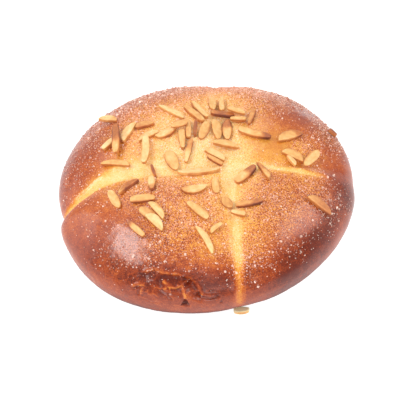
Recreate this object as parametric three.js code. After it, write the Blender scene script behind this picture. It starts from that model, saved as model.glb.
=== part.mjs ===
// A round sweet loaf, scored with a cross before baking and strewn with almond slivers.
// Millimetres and degrees, +Z up. The origin is on the flat underside, below the middle of the whole
// loaf, with +X to the right, -Y to the front and azimuths turning from +X towards +Y.
import * as THREE from "three";
import { mergeVertices } from "three/addons/utils/BufferGeometryUtils.js";

// The loaf's plan: an oval, turned, with soft swellings where a lobe spreads and a dip where one is
// slack.
const OVAL_LONG = 93; // half of the oval's length
const OVAL_SHORT = 89; // half of its width
const OVAL_TURN = 10; // azimuth of its long axis
const SPREAD_ANGLE = 30; // how far round a swelling reaches
const SWELLINGS = [
  { azimuth: 232, share: 0.045 },
  { azimuth: 320, share: -0.045 },
  { azimuth: 50, share: 0.03 },
];

// The loaf's side: a domed crown above the widest line, and a foot that tucks under to a flat base.
const CROWN_HEIGHT = 52;
const RIM_HEIGHT = 18; // the widest line's height
const BASE_SHARE = 0.8; // the flat base's radius, as a share of the widest radius
const CROWN_FULLNESS = 2.3; // 2 would be an ellipse, and more is flatter on top with a fuller shoulder

// The four lobes: how far each stands proud of the plain dome, and where.
const LOBES = [
  { x: -44, y: -42, rise: 3.2, reach: 25 },
  { x: 48, y: -42, rise: 1.2, reach: 26 },
  { x: 46, y: 44, rise: 1.6, reach: 26 },
  { x: -44, y: 40, rise: 1.4, reach: 28 },
];

// The scored cross: four arms from one crossing to the widest line. An arm is a valley with a crease
// along its floor. It is as wide as "after" says on the side that its azimuth turns to, and as wide as
// "before" says on the other, and by the widest line it has lost the share of its depth in "fade".
const CROSSING = new THREE.Vector2(14, -5);
const ARMS = [
  { azimuth: 282, depth: 4.2, before: 12, after: 12, fade: 0.9 },
  { azimuth: 3, depth: 4.6, before: 9, after: 20, fade: 0.8 },
  { azimuth: 87, depth: 3.6, before: 14, after: 14, fade: 0.6 },
  { azimuth: 195, depth: 5.0, before: 19, after: 9, fade: 0.4 },
];
const CREASE_DEPTH = 1.2;
const CREASE_WIDTH = 3.5;
const ARM_START = 8; // length over which an arm sinks in at the crossing
const FOOT_BAND = 9; // the height above the base over which lobes and arms die out

// Slivered almonds. A stick has two straight sides, a moon one straight and one bowed side, and a flake
// two bowed sides. "above" is the share of the width on the bowed side, and "square" is how square the
// sides meet the blunt ends.
const CUTS = {
  stick: { above: 0.5, square: 0.98, blunt: 0.22, thick: 2.8 },
  moon: { above: 0.82, square: 0.66, blunt: 0.06, thick: 2.6 },
  flake: { above: 0.5, square: 0.72, blunt: 0.1, thick: 1.7 },
};
const BEVEL = 0.4;
const BOW_REACH = 0.75; // how far a cubic curve's middle goes towards its two control points
const CURVE_STEPS = 7;
const GAP = 0.3; // clearance between a sliver and what it lies on
const PALE = 0xe9c98a;
const GOLDEN = 0xd79a4c;
const TOASTED = 0x8a4a26;
const ALMOND_ROUGHNESS = 0.55;
const CRUST = 0xb96a2e;
const CRUST_ROUGHNESS = 0.4;

// Where the slivers lie, lowest first: x and y of the middle, heading of the long axis, length, width,
// cut, roast, and the tilt that lifts the leading end (or, below zero, the trailing end).
const SLIVERS = [
  [-62, 38.5, -18, 13, 5.4, "moon", PALE, -14],
  [-60.5, 13, 45, 10, 4.6, "stick", PALE, 0],
  [-56, 13.5, -87, 25.5, 5, "stick", GOLDEN, 0],
  [-49.5, 21, 65, 17, 6, "moon", PALE, 0],
  [-39, 26.5, 10, 12, 5.6, "moon", GOLDEN, 0],
  [-36.5, 16, 28, 14, 4.8, "moon", PALE, 0],
  [-38, 2.5, -92, 20, 5.4, "stick", PALE, 0],
  [-55.5, -3, -13, 19, 4.2, "moon", GOLDEN, 0],
  [-21.5, 37.5, -43, 22, 4.6, "moon", GOLDEN, 0],
  [-8.5, 34.5, -50, 18, 5.2, "stick", PALE, 0],
  [-5, 39.5, -58, 18, 4.4, "stick", PALE, 0],
  [3.5, 49.5, -91, 15, 5.6, "flake", PALE, 0],
  [9.5, 49, -90, 15, 3.8, "stick", PALE, 0],
  [9.5, 37, -10, 15, 4.4, "stick", TOASTED, 0],
  [12.5, 24, -90, 18, 6.2, "flake", GOLDEN, 0],
  [5.5, 23, -85, 18, 6.6, "flake", PALE, 0],
  [-2.5, 20.5, -105, 17, 6.4, "flake", PALE, 0],
  [-12, 20.5, -88, 16, 3.8, "stick", PALE, 0],
  [-7.5, 21, -92, 14, 2.6, "stick", TOASTED, 0],
  [-15.5, 12, -86, 15, 4.4, "stick", PALE, 0],
  [-11.5, 3, -102, 17, 3.8, "stick", GOLDEN, 0],
  [-24.5, 17.5, 215, 16, 5.4, "moon", PALE, 0],
  [-17.5, 21, 32, 12, 5.6, "flake", PALE, -8],
  [19, 36.5, -35, 13, 4.4, "moon", PALE, 0],
  [19.5, 30, -12, 10, 3.4, "stick", GOLDEN, 0],
  [27.5, 32.5, -105, 13.5, 3.4, "stick", TOASTED, 0],
  [29, 18.5, -18, 21, 5, "stick", GOLDEN, 0],
  [50, 20, 30, 18, 6.6, "moon", GOLDEN, 0],
  [11.5, 10, -13, 16, 5.4, "moon", PALE, 0],
  [5, 2, -30, 14, 5.4, "moon", PALE, 0],
  [4.5, -3, -32, 11, 3, "stick", GOLDEN, 0],
  [-21.5, -3.5, -68, 15, 7.8, "flake", PALE, 0],
  [-32.5, -12, -73, 9, 2.4, "stick", TOASTED, 0],
  [-33, -25.5, -85, 12, 4.6, "stick", GOLDEN, 0],
  [-5, -15, 188, 26, 5.8, "moon", GOLDEN, 0],
  [-8, -30.5, 193, 16, 5.6, "moon", GOLDEN, 0],
  [4.5, -25, -87, 12.5, 5.2, "flake", PALE, 0],
  [11, -36, -48, 8.5, 7, "flake", PALE, 0],
  [24.5, -37, 5, 16, 3.6, "stick", TOASTED, 0],
  [18, -43.5, -18, 9, 3.2, "stick", PALE, 0],
  [23, -15.5, 44, 17, 6.2, "stick", TOASTED, 0],
  [34, -13, -66, 17, 3.4, "moon", TOASTED, 0],
  [51.5, -0.5, -58, 9, 3.2, "moon", PALE, 0],
  [52.5, 5.5, -20, 14.5, 6, "moon", TOASTED, 0],
  [63.5, 3.5, 55, 17.5, 6.2, "flake", PALE, 0],
  [66.5, -30.5, -25, 18, 5.8, "moon", GOLDEN, 0],
  [79, 35.5, -30, 6, 2.6, "stick", TOASTED, 0],
  [-55, -33.5, -66, 17, 5.6, "flake", PALE, 0],
  [-47.5, -25, 45, 16, 4.6, "moon", TOASTED, 0],
  [-38, -37, 0, 15, 5.2, "stick", GOLDEN, 0],
  [-34.5, -47, -40, 13.5, 6.4, "flake", PALE, 0],
  [-30, -53, -44, 13.5, 5.6, "moon", PALE, -9],
  [-29, -46, -52, 14, 4.6, "moon", PALE, 0],
  [-41, -55.5, -46, 13, 3.8, "stick", GOLDEN, 0],
  [-6, -45, -40, 16, 5.2, "stick", PALE, 0],
  [-1.5, -62, -57, 19, 4, "moon", GOLDEN, 0],
  [4, -54.5, 45, 10, 3.2, "moon", PALE, 0],
];
// One more has fallen off and lies on the surface that the loaf stands on, at the end of the front arm.
const FALLEN = { x: 20, y: -80.2, heading: 2, long: 9.5, wide: 4.4, cut: "stick", roast: PALE };

// How fine the loaf's solid is. The rows of the crown crowd towards its edge, where it curves most.
const ROUND_STEPS = 120;
const CROWN_STEPS = 17;
const FOOT_STEPS = 6;
const ROW_CROWDING = 0.9;
const AZIMUTH_ROUNDING = 1000; // parts of a degree that azimuths are rounded to, so that the seam closes

// Where a sliver's underside is tried against what is below: points round its outline, each also drawn
// in to these shares of its way from the middle. Its slope is taken over these shares of its size.
const OUTLINE_POINTS = 48;
const OUTLINE_SHARES = [0, 0.4, 0.75, 1];
const SLOPE_ALONG = 0.35;
const SLOPE_ACROSS = 0.5;

const unitAt = (degrees) => {
  const angle = THREE.MathUtils.degToRad(degrees);
  return new THREE.Vector2(Math.cos(angle), Math.sin(angle));
};
const bell = (distance, width) => Math.exp(-((distance / width) ** 2));

// Distance from the loaf's axis to its widest line.
function rimRadius(azimuth) {
  const along = unitAt(azimuth - OVAL_TURN);
  let radius = 1 / Math.hypot(along.x / OVAL_LONG, along.y / OVAL_SHORT);
  for (const { azimuth: middle, share } of SWELLINGS) {
    const off = THREE.MathUtils.euclideanModulo(azimuth - middle + 180, 360) - 180;
    radius *= 1 + share * bell(off, SPREAD_ANGLE);
  }
  return radius;
}

const rimPoint = (azimuth) => unitAt(azimuth).multiplyScalar(rimRadius(azimuth));

// How far the lobes lift the crust, less how far the arms of the cross sink it, at a point of the plan.
function relief(x, y) {
  let rise = 0;
  for (const lobe of LOBES) {
    const distance = Math.hypot(x - lobe.x, y - lobe.y);
    rise += lobe.rise * bell(distance, lobe.reach * Math.SQRT2);
  }
  let level = 1; // what is left of the crust after each arm's valley
  let crease = 1;
  let deepest = 0;
  for (const arm of ARMS) {
    const end = rimPoint(arm.azimuth).sub(CROSSING);
    const reach = end.length();
    const along = ((x - CROSSING.x) * end.x + (y - CROSSING.y) * end.y) / reach;
    const aside = ((y - CROSSING.y) * end.x - (x - CROSSING.x) * end.y) / reach;
    const started = 0.5 + 0.5 * Math.tanh(along / ARM_START + 0.5);
    const kept = started * (1 - arm.fade * THREE.MathUtils.clamp(along / reach, 0, 1) ** 2);
    const valley = kept * bell(aside, aside > 0 ? arm.after : arm.before);
    deepest = Math.max(deepest, arm.depth * valley);
    level *= 1 - valley;
    crease *= 1 - kept * bell(aside, CREASE_WIDTH);
  }
  const meanDepth = ARMS.reduce((sum, arm) => sum + arm.depth, 0) / ARMS.length;
  const valleys = (deepest + meanDepth * (1 - level)) / 2;
  return rise - valleys - CREASE_DEPTH * (1 - crease);
}

// The crust above or below a point of the plain dome, moved out along the dome's own slope.
function crustPoint(plan, height, outward) {
  const fade = THREE.MathUtils.smoothstep(height, 0, FOOT_BAND);
  const shift = relief(plan.x, plan.y) * fade;
  const out = plan.clone().normalize().multiplyScalar(outward.x * shift);
  return new THREE.Vector3(plan.x + out.x, plan.y + out.y, height + outward.y * shift);
}

// The dome over the plan: height of the crown and the direction it faces, as outwards and upwards parts.
function crownPoint(azimuth, share) {
  const plan = CROSSING.clone().lerp(rimPoint(azimuth), share);
  const radius = rimRadius(THREE.MathUtils.radToDeg(plan.angle()));
  const out = Math.min(plan.length() / radius, 1);
  const rise = CROWN_HEIGHT - RIM_HEIGHT;
  const up = Math.sqrt(Math.max(1 - out ** CROWN_FULLNESS, 0));
  const steepness = (CROWN_FULLNESS / 2) * (out ** (CROWN_FULLNESS - 1) / radius);
  const outward = new THREE.Vector2(steepness, up / rise).normalize();
  return crustPoint(plan, RIM_HEIGHT + rise * up, outward);
}

// The foot: a quarter of an ellipse from the widest line down to the flat base.
function footPoint(azimuth, tuck) {
  const across = Math.cos(tuck);
  const down = Math.sin(tuck);
  const radius = rimRadius(azimuth);
  const plan = unitAt(azimuth).multiplyScalar(radius * (BASE_SHARE + (1 - BASE_SHARE) * across));
  const outward = new THREE.Vector2(across / ((1 - BASE_SHARE) * radius), -down / RIM_HEIGHT);
  return crustPoint(plan, RIM_HEIGHT * (1 - down), outward.normalize());
}

// The loaf is a lathe-turned blank whose every vertex is then carried onto the crust. The blank's
// profile counts rows, not millimetres: row 0 is the middle of the base, and the last is the crossing.
function loafGeometry() {
  const rows = FOOT_STEPS + CROWN_STEPS + 1;
  const profile = [];
  for (let row = 0; row <= rows; row += 1) {
    profile.push(new THREE.Vector2(row % rows === 0 ? 0 : 1, row));
  }
  const blank = new THREE.LatheGeometry(profile, ROUND_STEPS);
  blank.deleteAttribute("normal");
  blank.deleteAttribute("uv");
  const position = blank.getAttribute("position");
  for (let i = 0; i < position.count; i += 1) {
    const row = Math.round(position.getY(i));
    const azimuth = THREE.MathUtils.radToDeg(Math.atan2(position.getX(i), position.getZ(i)));
    const rounded = Math.round(azimuth * AZIMUTH_ROUNDING) / AZIMUTH_ROUNDING;
    const point = rowPoint(row, rows, rounded);
    position.setXYZ(i, point.x, point.y, point.z);
  }
  const geometry = mergeVertices(blank, 1e-3);
  geometry.computeVertexNormals();
  return geometry;
}

function rowPoint(row, rows, azimuth) {
  if (row === 0) return new THREE.Vector3(0, 0, 0);
  if (row <= FOOT_STEPS) return footPoint(azimuth, (Math.PI / 2) * (1 - (row - 1) / FOOT_STEPS));
  const share = (rows - row) / CROWN_STEPS;
  return crownPoint(azimuth, Math.sin((Math.PI / 2) * share) ** ROW_CROWDING);
}

// A sliver's outline, middle at the origin and long axis along X, with the bowed side towards +Y.
function sliverOutline(long, wide, cut) {
  const { above, square, blunt } = CUTS[cut];
  const half = long / 2;
  const end = BEVEL + (wide * blunt) / 2;
  const middle = wide * (0.5 - above);
  const top = middle + end + (wide * above - end) / BOW_REACH;
  const bottom = middle - end - (wide * (1 - above) - end) / BOW_REACH;
  const shape = new THREE.Shape();
  shape.moveTo(-half, middle - end);
  shape.bezierCurveTo(-half * square, bottom, half * square, bottom, half, middle - end);
  shape.lineTo(half, middle + end);
  shape.bezierCurveTo(half * square, top, -half * square, top, -half, middle + end);
  return shape;
}

function sliverMesh(name, long, wide, cut, roast) {
  const { thick } = CUTS[cut];
  const geometry = new THREE.ExtrudeGeometry(sliverOutline(long, wide, cut), {
    depth: thick - 2 * BEVEL,
    bevelEnabled: true,
    bevelThickness: BEVEL,
    bevelSize: BEVEL,
    bevelOffset: -BEVEL,
    bevelSegments: 1,
    curveSegments: CURVE_STEPS,
  }).translate(0, 0, BEVEL);
  const material = new THREE.MeshStandardMaterial({ color: roast, roughness: ALMOND_ROUGHNESS });
  const mesh = new THREE.Mesh(geometry, material);
  mesh.name = name;
  return mesh;
}

const DOWN = new THREE.Vector3(0, 0, -1);
const HIGH_ABOVE = 2 * CROWN_HEIGHT;

// Height of whatever lies topmost at a point of the plan.
function topHeight(x, y, pieces) {
  const ray = new THREE.Raycaster(new THREE.Vector3(x, y, HIGH_ABOVE), DOWN);
  const hits = ray.intersectObjects(pieces);
  return hits.length > 0 ? hits[0].point.z : -Infinity;
}

// Lays a sliver along the crust's slope, then lowers it straight down until it all but touches.
function layOnCrust(mesh, [x, y, heading, long, wide, cut, , tilt], loaf, laid) {
  const ahead = unitAt(heading);
  const spanLong = SLOPE_ALONG * long;
  const spanWide = SLOPE_ACROSS * wide;
  const heightAt = (u, v) => {
    const east = x + u * ahead.x - v * ahead.y;
    const north = y + u * ahead.y + v * ahead.x;
    return topHeight(east, north, [loaf]);
  };
  const climb = (heightAt(spanLong, 0) - heightAt(-spanLong, 0)) / (2 * spanLong);
  const lean = (heightAt(0, spanWide) - heightAt(0, -spanWide)) / (2 * spanWide);
  const forward = new THREE.Vector3(ahead.x, ahead.y, climb).normalize();
  const sideways = new THREE.Vector3(-ahead.y, ahead.x, lean);
  const normal = forward.clone().cross(sideways).normalize();
  sideways.copy(normal).cross(forward);
  forward.applyAxisAngle(sideways, THREE.MathUtils.degToRad(-tilt));
  normal.applyAxisAngle(sideways, THREE.MathUtils.degToRad(-tilt));
  const placed = new THREE.Matrix4().makeBasis(forward, sideways, normal).setPosition(x, y, HIGH_ABOVE);
  let fall = Infinity;
  for (const corner of sliverOutline(long, wide, cut).getSpacedPoints(OUTLINE_POINTS)) {
    for (const share of OUTLINE_SHARES) {
      const under = new THREE.Vector3(corner.x * share, corner.y * share, 0).applyMatrix4(placed);
      fall = Math.min(fall, under.z - topHeight(under.x, under.y, [loaf, ...laid]));
    }
  }
  mesh.applyMatrix4(placed);
  mesh.position.z -= fall - GAP;
  mesh.updateMatrixWorld(true);
}

const part = new THREE.Group();

const loafMaterial = new THREE.MeshStandardMaterial({ color: CRUST, roughness: CRUST_ROUGHNESS });
const loaf = new THREE.Mesh(loafGeometry(), loafMaterial);
loaf.name = "loaf";
loaf.updateMatrixWorld(true);
part.add(loaf);

const laid = [];
for (const [index, row] of SLIVERS.entries()) {
  const [, , , long, wide, cut, roast] = row;
  const name = `almond_sliver_${String(index + 1).padStart(2, "0")}`;
  const sliver = sliverMesh(name, long, wide, cut, roast);
  layOnCrust(sliver, row, loaf, laid);
  laid.push(sliver);
  part.add(sliver);
}

const fallen = sliverMesh("fallen_almond_sliver", FALLEN.long, FALLEN.wide, FALLEN.cut, FALLEN.roast);
fallen.rotation.z = THREE.MathUtils.degToRad(FALLEN.heading);
fallen.position.set(FALLEN.x, FALLEN.y, 0);
part.add(fallen);

// The origin goes below the middle of the whole thing's box.
const middle = new THREE.Box3().setFromObject(part).getCenter(new THREE.Vector3());
for (const piece of part.children) piece.position.sub(new THREE.Vector3(middle.x, middle.y, 0));

export default part;
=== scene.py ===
import math

import bpy
import numpy as np
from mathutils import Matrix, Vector


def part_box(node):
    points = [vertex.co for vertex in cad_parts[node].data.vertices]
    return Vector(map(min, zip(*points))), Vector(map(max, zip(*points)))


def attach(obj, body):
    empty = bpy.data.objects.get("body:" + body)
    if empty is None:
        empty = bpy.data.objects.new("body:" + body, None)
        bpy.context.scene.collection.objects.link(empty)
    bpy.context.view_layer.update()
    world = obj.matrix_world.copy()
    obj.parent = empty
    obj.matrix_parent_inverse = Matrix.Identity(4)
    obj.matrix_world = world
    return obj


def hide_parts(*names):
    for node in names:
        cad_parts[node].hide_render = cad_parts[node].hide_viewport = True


# Looks for a round sweet loaf scored with a cross and strewn with sugar and almond slivers.
# Shapes are worked out in millimetres about the loaf's own axis, and placed in metres in the row frame.
# Azimuths are in degrees from +X towards +Y, so the front of the loaf is at 270.

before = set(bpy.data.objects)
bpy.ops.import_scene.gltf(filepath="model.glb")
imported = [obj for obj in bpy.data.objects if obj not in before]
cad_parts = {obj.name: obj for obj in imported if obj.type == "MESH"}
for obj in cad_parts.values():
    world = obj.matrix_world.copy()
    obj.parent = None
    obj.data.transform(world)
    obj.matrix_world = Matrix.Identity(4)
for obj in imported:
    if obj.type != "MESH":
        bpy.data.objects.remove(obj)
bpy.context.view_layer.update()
rng = np.random.default_rng(20)

MM = 0.001

# ---------------------------------------------------------------- the loaf's plain form, as in the CAD

OVAL_LONG, OVAL_SHORT, OVAL_TURN = 93.0, 89.0, 10.0
SPREAD_ANGLE = 30.0
SWELLINGS = ((232, 0.045), (320, -0.045), (50, 0.03))
CROWN_HEIGHT, RIM_HEIGHT = 52.0, 18.0
BASE_SHARE, CROWN_FULLNESS = 0.8, 2.3
LOBES = ((-44, -42, 3.2, 25), (48, -42, 1.2, 26), (46, 44, 1.6, 26), (-44, 40, 1.4, 28))
CROSSING = (14.0, -5.0)
# azimuth, depth, width before, width after, share of the depth lost by the widest line
ARMS = ((282, 4.2, 12, 12, 0.9), (3, 4.6, 9, 20, 0.8), (87, 3.6, 14, 14, 0.6), (195, 5.0, 19, 9, 0.4))
CREASE_DEPTH, CREASE_WIDTH = 1.2, 3.5
ARM_START, FOOT_BAND = 8.0, 9.0
TINY = 1e-9


def bell(distance, width):
    """1 at distance 0, falling to 0 over about twice the width."""
    return np.exp(-((distance / width) ** 2))


def smooth(value, low, high):
    """0 below low and 1 above high, with an eased step between."""
    t = np.clip((value - low) / (high - low), 0, 1)
    return t * t * (3 - 2 * t)


def azimuth_gap(x, y, azimuth):
    """Degrees from an azimuth to a point's own."""
    return (np.degrees(np.arctan2(y, x)) - azimuth + 180) % 360 - 180


def rim_radius(azimuth):
    """Distance from the axis to the widest line, in mm, at azimuths in degrees."""
    along = np.radians(azimuth - OVAL_TURN)
    radius = 1 / np.hypot(np.cos(along) / OVAL_LONG, np.sin(along) / OVAL_SHORT)
    for middle, share in SWELLINGS:
        radius = radius * (1 + share * bell((azimuth - middle + 180) % 360 - 180, SPREAD_ANGLE))
    return radius


def relief(x, y):
    """How far the lobes lift the crust, less how far the scored arms sink it."""
    rise = sum(h * bell(np.hypot(x - u, y - v), reach * math.sqrt(2)) for u, v, h, reach in LOBES)
    level, crease, deepest = 1.0, 1.0, 0.0
    for azimuth, depth, before, after, fade in ARMS:
        turn = math.radians(azimuth)
        end_x = float(rim_radius(azimuth)) * math.cos(turn) - CROSSING[0]
        end_y = float(rim_radius(azimuth)) * math.sin(turn) - CROSSING[1]
        reach = math.hypot(end_x, end_y)
        along = ((x - CROSSING[0]) * end_x + (y - CROSSING[1]) * end_y) / reach
        aside = ((y - CROSSING[1]) * end_x - (x - CROSSING[0]) * end_y) / reach
        started = 0.5 + 0.5 * np.tanh(along / ARM_START + 0.5)
        kept = started * (1 - fade * np.clip(along / reach, 0, 1) ** 2)
        valley = kept * bell(aside, np.where(aside > 0, after, before))
        deepest = np.maximum(deepest, depth * valley)
        level = level * (1 - valley)
        crease = crease * (1 - kept * bell(aside, CREASE_WIDTH))
    mean_depth = sum(arm[1] for arm in ARMS) / len(ARMS)
    return rise - 0.5 * (deepest + mean_depth * (1 - level)) - CREASE_DEPTH * (1 - crease)


def crust_point(x, y, height, out, up):
    """A point of the plain form moved by the relief along its normal, whose parts are out and up."""
    length = np.hypot(out, up)
    shift = relief(x, y) * smooth(height, 0, FOOT_BAND)
    radius = np.maximum(np.hypot(x, y), TINY)
    sideways = out / length * shift / radius
    return np.stack([x * (1 + sideways), y * (1 + sideways), height + up / length * shift], -1)


def crown_point(azimuth, share):
    """A point of the crown, at a share of the way from the crossing to the widest line."""
    turn, rim = np.radians(azimuth), rim_radius(azimuth)
    x = CROSSING[0] + (rim * np.cos(turn) - CROSSING[0]) * share
    y = CROSSING[1] + (rim * np.sin(turn) - CROSSING[1]) * share
    radius = rim_radius(np.degrees(np.arctan2(y, x)))
    out = np.minimum(np.hypot(x, y) / radius, 1)
    up = np.sqrt(np.maximum(1 - out**CROWN_FULLNESS, 0))
    rise = CROWN_HEIGHT - RIM_HEIGHT
    slope = CROWN_FULLNESS / 2 * out ** (CROWN_FULLNESS - 1) / radius
    return crust_point(x, y, RIM_HEIGHT + rise * up, slope, up / rise)


def foot_point(azimuth, tuck):
    """A point of the foot, where tuck runs from 0 at the widest line to a right angle at the base."""
    turn, rim = np.radians(azimuth), rim_radius(azimuth)
    across, down = np.cos(tuck), np.sin(tuck)
    reach = rim * (BASE_SHARE + (1 - BASE_SHARE) * across)
    height = RIM_HEIGHT * (1 - down)
    slope = across / ((1 - BASE_SHARE) * rim)
    return crust_point(reach * np.cos(turn), reach * np.sin(turn), height, slope, -down / RIM_HEIGHT)


# ---------------------------------------------------------------- noise

CELLS = 48
LATTICE = np.random.default_rng(4).random((CELLS, CELLS, CELLS))


def noise(points, size, octaves=1):
    """Smooth noise from -1 to 1 at points (..., 3), with blobs about size across."""
    total, most, weight = 0.0, 0.0, 1.0
    for octave in range(octaves):
        place = points / size * 2**octave + 11.7 * (octave + 1)
        cell = np.floor(place).astype(int)
        t = place - cell
        t = t * t * (3 - 2 * t)
        value = 0.0
        for corner in np.ndindex(2, 2, 2):
            share = np.prod(np.where(corner, t, 1 - t), axis=-1)
            i = (cell + corner) % CELLS
            value = value + share * LATTICE[i[..., 0], i[..., 1], i[..., 2]]
        total = total + weight * (2 * value - 1)
        most += weight
        weight *= 0.5
    return total / most


def path_distance(points, path):
    """Distance from each point to a path of points, the share along it, and the side of the last bend
    (positive on the left of the path, seen from above)."""
    path = np.asarray(path, float)
    best = np.full(points.shape[:-1], 1e9)
    share = np.zeros(points.shape[:-1])
    side = np.zeros(points.shape[:-1])
    steps = np.linalg.norm(np.diff(path, axis=0), axis=1)
    start = np.concatenate([[0], np.cumsum(steps)])
    for k, step in enumerate(steps):
        ahead = (path[k + 1] - path[k]) / step
        off = points - path[k]
        t = np.clip(off @ ahead, 0, step)
        gap = np.linalg.norm(off - t[..., None] * ahead, axis=-1)
        nearer = gap < best
        best = np.where(nearer, gap, best)
        share = np.where(nearer, (start[k] + t) / start[-1], share)
        side = np.where(nearer, np.sign(ahead[0] * off[..., 1] - ahead[1] * off[..., 0]), side)
    return best, share, side


def varied(share, values):
    """A value that runs evenly through values as share goes from 0 to 1."""
    return np.interp(share, np.linspace(0, 1, len(values)), values)


# ---------------------------------------------------------------- tears, browning, painted shade and sugar

# The pale dough bared along each arm: path, half width along it, paleness along it.
TEARS = (
    (
        ((13, -8), (14.5, -28), (16, -48), (17.3, -68), (18.8, -88)),
        (6, 3.4, 2.8, 2.4, 1.8),
        (1, 0.9, 0.82, 0.78, 0.3),
    ),
    (
        ((18, -5), (34, -7), (48, -8.5), (60, -9), (74, -8)),
        (5, 2.2, 1.7, 1.5, 1.2),
        (1, 0.95, 0.95, 0.8, 0.1),
    ),
    (((10, 8), (8.5, 30), (7, 52), (5, 78)), (8, 8, 6, 4), (0.8, 0.5, 0.35, 0.15)),
    (
        ((2, -7), (-24, -7), (-46, -8.5), (-58, -11.5), (-70, -17), (-90, -28)),
        (8, 8, 6.5, 5, 3, 1.8),
        (1, 0.95, 0.88, 0.85, 0.75, 0.55),
    ),
)
TEAR_WANDER, TEAR_WAVE = 0.9, 5.0  # how far a tear's edge strays, and how often
TEAR_FADE = (-2.2, 2.6)  # distances past the edge between which the paleness fades
TEAR_HEIGHTS = (6, 20)  # heights between which it sets in
FAR = 99.0

# Cracks and torn ledges in the wall below the front left lobe. Each is a path on the plain crust, how
# deep the crust below it is sunk, how far down that reaches, and how high and pale its frayed edge is.
WALL_TEARS = (
    (
        ((-36, -77.5, 34.5), (-31, -77, 36), (-26, -79, 35), (-18, -80, 35), (-11.5, -81.5, 34)),
        2.0,
        6.5,
        0.7,
        0.7,
    ),
    (((-25.5, -82.5, 31.5), (-22, -85, 29), (-17.5, -85.5, 29.5), (-12, -83, 32)), 1.3, 2.6, 0.9, 1.0),
    (((-25.5, -85.5, 28), (-22.5, -87, 26), (-20.5, -88.5, 24)), 0.9, 2.2, 0.6, 0.7),
    (((-15, -85, 30), (-14, -87, 27.5), (-13, -89, 24.5)), 0.8, 2.0, 0.6, 0.7),
    (((-10, -82, 33.5), (-7.5, -83.5, 32), (-5, -85.5, 29.5), (-4, -87.5, 26.5)), 1.3, 6.0, 0.7, 0.8),
    (((-4, -87.5, 26.5), (-1, -88, 25.5), (4, -87.5, 25)), 1.5, 3.2, 1.2, 0.1),
    (((-43, -82, 27), (-40, -82, 28.5), (-37.5, -83, 27.5), (-39, -84.5, 24)), 1.3, 2.6, 0.7, 0.7),
    (((-39, -85.5, 21), (-33, -87.3, 19.7), (-28.5, -88.2, 20)), 0.5, 1.4, 0.2, 0.3),
)
WALL_TEAR_WANDER, WALL_TEAR_WAVE = 0.9, 3.0
LOWER_SIDE = (-0.3, 0.8)  # distances across a wall tear between which its lower side sets in

# Between them the wall is crackled, round one azimuth and height.
CRACKLE_AZIMUTH, CRACKLE_SPREAD = 252, 20
CRACKLE_HEIGHT, CRACKLE_REACH = 29, 7
CRACKLE_WAVE, CRACKLE_LINE = 7.0, 0.055

# Notches where the wall has burst low down: middle, half width at the foot, half height and depth.
NOTCHES = (
    ((-13, -89.5, 21.5), 2.6, 2.6, 2.4),
    ((7.5, -87.7, 21), 1.0, 1.2, 0.8),
    ((-51, -75, 28), 1.6, 0.7, 0.8),
)

# Browning goes from 0 for raw dough to 1 for almost burnt. It rises from the crown's middle to the
# widest line and on down the wall, with a dark shoulder at the front right, a paler band round the wall
# that is painted reflection of the bright floor, a browner wall below the front right lobe and a darker
# foot, baked darker all round and with painted contact shadow at the front.
CROWN_BROWN, RIM_BROWN, WALL_BROWN = 0.36, 0.34, 0.16
RIM_BROWN_FROM, RIM_BROWN_TO = 0.35, 0.98
WALL_BROWN_TOP, WALL_BROWN_DROP = 34, 14
SHOULDER_AZIMUTH, SHOULDER_SPREAD, SHOULDER_HEIGHT = 295, 62, 32
SHOULDER_REACH, SHOULDER_BROWN = 6, 0.26
# A paler band round the wall: painted reflection of the bright floor.
FLOOR_SHEEN_HEIGHT, FLOOR_SHEEN_REACH, FLOOR_SHEEN = 18, 7, 0.10
FRONT_WALL_AZIMUTH, FRONT_WALL_SPREAD = 300, 20
FRONT_WALL_TOP, FRONT_WALL_DROP, FRONT_WALL_BROWN = 30, 6, 0.18
# The foot is darker below these heights: baked darker all round, and painted contact shadow round this
# azimuth.
FOOT_SHADOW_AZIMUTH, FOOT_SHADOW_SPREAD = 262, 34
DARK_FOOT_DEPTHS, DARK_FOOT_AND_SHADOW = (-12, -7), 0.5  # heights with their sign turned, as the foot lies below
UNEVEN_BROWN, UNEVEN_WAVE = 0.07, 22.0
HALO_PALE, HALO_WIDTH, HALO_HEIGHTS = 0.16, 2.2, (10, 26)  # paler crust on both sides of a tear
RAW = 0.12
# Below each wall tear the sunk crust is darkened: painted shade under the ledge.
TEAR_SHADE, TEAR_SHADE_FROM = 0.06, 0.4
FRAY, FRAY_WAVE, FRAY_WIDTH = 0.42, 1.8, 1.0
CRACKLE_BROWN, CRACKLE_BLOTCH, CRACKLE_PALE, CRACKLE_BREAKS = 0.12, 4.0, 0.26, 3.0
# Inside the notches the crust is darkened: painted shade in the holes.
NOTCH_SHADE = 0.4

# Patches that are browner or paler than the plain gradient: x, y, reach, amount.
TOAST = (
    (-52, -44, 24, 0.12),
    (-22, -74, 20, 0.05),
    (-40, -79, 16, 0.07),
    (-58, -64, 16, 0.05),
    (34, -30, 16, 0.14),
    (46, -18, 14, 0.16),
    (58, -40, 22, 0.04),
    (68, -52, 20, 0.05),
    (84, -10, 14, 0.17),
    (50, 42, 28, 0.2),
    (-30, 62, 26, 0.12),
    (-60, 30, 24, 0.10),
    (-74, 6, 20, 0.12),
    (-8, 12, 30, -0.16),
    (34, 12, 13, 0.14),
    (-20, -28, 26, 0.27),
    (2, -68, 11, -0.10),
    (30, -73, 10, -0.12),
    (12, 58, 18, -0.06),
)

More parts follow.
